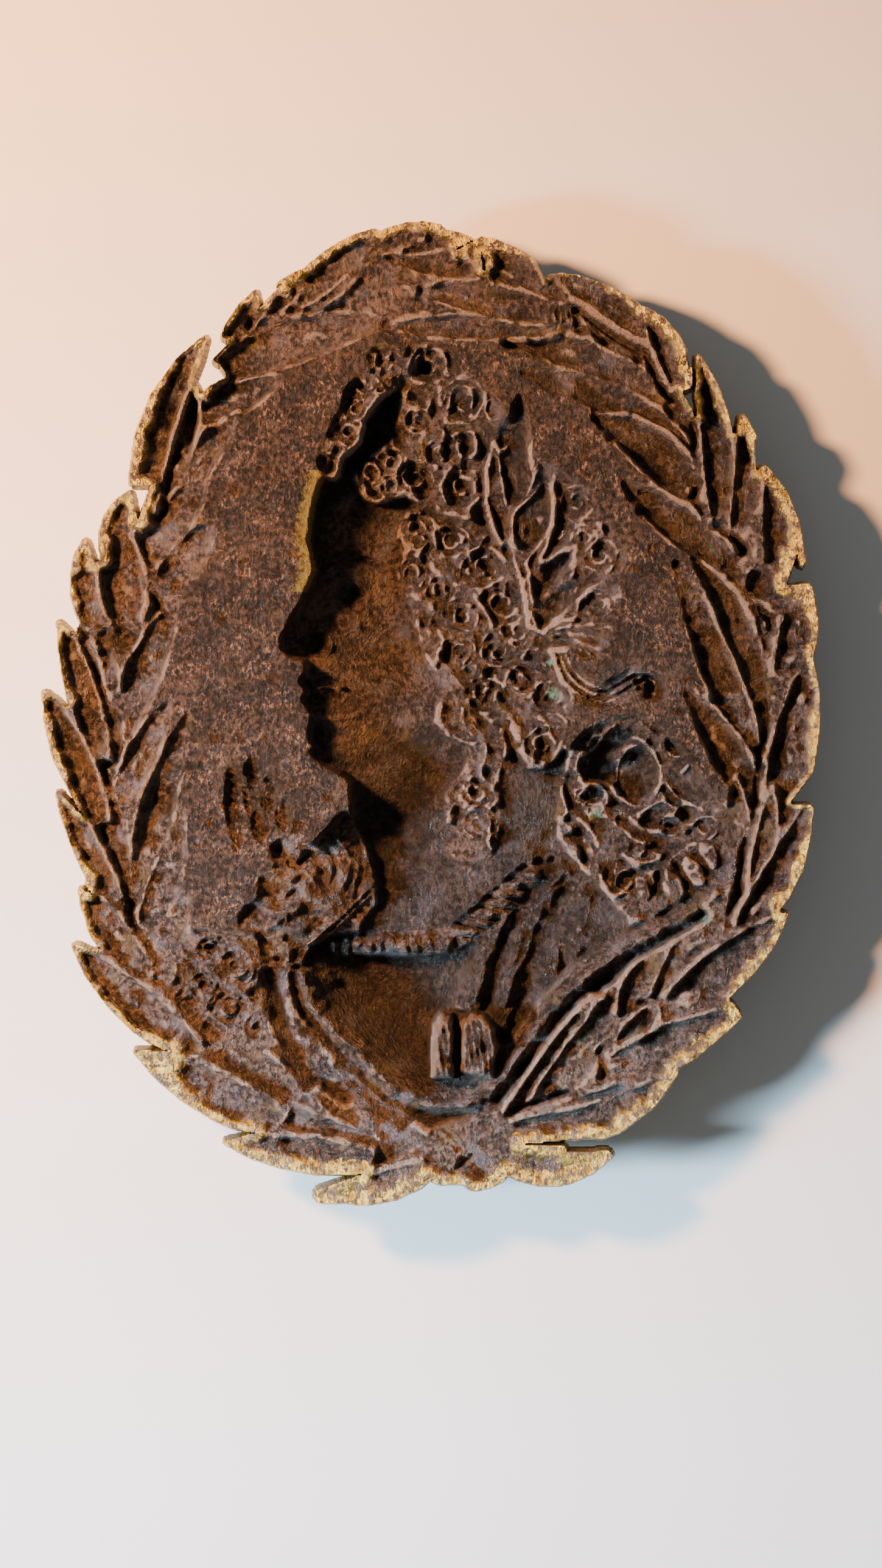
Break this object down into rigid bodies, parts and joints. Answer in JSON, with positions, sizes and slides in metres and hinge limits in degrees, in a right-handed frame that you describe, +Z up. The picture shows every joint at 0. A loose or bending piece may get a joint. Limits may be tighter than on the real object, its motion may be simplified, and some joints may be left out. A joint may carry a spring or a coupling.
{
  "type": "hollow-backed cap badge",
  "caption": "Oval cast brass badge lying on its front: hollow back with a laurel wreath round a bust in profile, and brazed fixing stubs.",
  "frame": {"origin": "centre of the bounding box's footprint, on the surface the badge lies on", "axes": "+Y to the top of the badge, +X to the right as seen from its back, +Z up out of the hollow back"},
  "size_m": [0.0635, 0.0803, 0.0076],
  "materials": {
    "wreath_brass": "patinated brown with bright filed edges",
    "field_brass": "mid-brown, grained",
    "bust_brass": "dark chocolate patina with red-brown and grey sheen",
    "solder": "rough broken brazing"
  },
  "bodies": {
    "root": {"back_hair": "bust_brass", "bottom_leaf": "wreath_brass", "chest": "bust_brass", "cloak_border": "bust_brass", "cloak_folds": "bust_brass", "collar": "bust_brass", "crown_curls": "bust_brass", "face": "bust_brass", "field_left": "field_brass", "field_right": "field_brass", "fixing_stub_left": "solder", "fixing_stub_right": "solder", "fixing_stub_top": "solder", "front_curls": "bust_brass", "hair_laurel": "bust_brass", "left_berry": "wreath_brass", "left_inner_01": "wreath_brass", "left_inner_02": "wreath_brass", "left_inner_03": "wreath_brass", "left_inner_04": "wreath_brass", "left_inner_05": "wreath_brass", "left_leaf_01": "wreath_brass", "left_leaf_02": "wreath_brass", "left_leaf_03": "wreath_brass", "left_leaf_04": "wreath_brass", "left_leaf_05": "wreath_brass", "left_leaf_06": "wreath_brass", "left_leaf_07": "wreath_brass", "left_leaf_08": "wreath_brass", "lion_mask": "bust_brass", "neck": "bust_brass", "ribbon_ends": "bust_brass", "right_berry": "wreath_brass", "right_inner_01": "wreath_brass", "right_inner_02": "wreath_brass", "right_inner_03": "wreath_brass", "right_inner_04": "wreath_brass", "right_inner_05": "wreath_brass", "right_inner_06": "wreath_brass", "right_inner_07": "wreath_brass", "right_leaf_01": "wreath_brass", "right_leaf_02": "wreath_brass", "right_leaf_03": "wreath_brass", "right_leaf_04": "wreath_brass", "right_leaf_05": "wreath_brass", "right_leaf_06": "wreath_brass", "right_leaf_07": "wreath_brass", "right_leaf_08": "wreath_brass", "right_leaf_09": "wreath_brass", "rosette_relief": "wreath_brass", "scroll_relief": "wreath_brass", "side_curls": "bust_brass", "top_berries": "wreath_brass", "top_leaf_01": "wreath_brass", "top_leaf_02": "wreath_brass", "top_leaf_03": "wreath_brass", "trailing_lock": "bust_brass", "wreath_tie": "wreath_brass"}
  },
  "joints": []
}
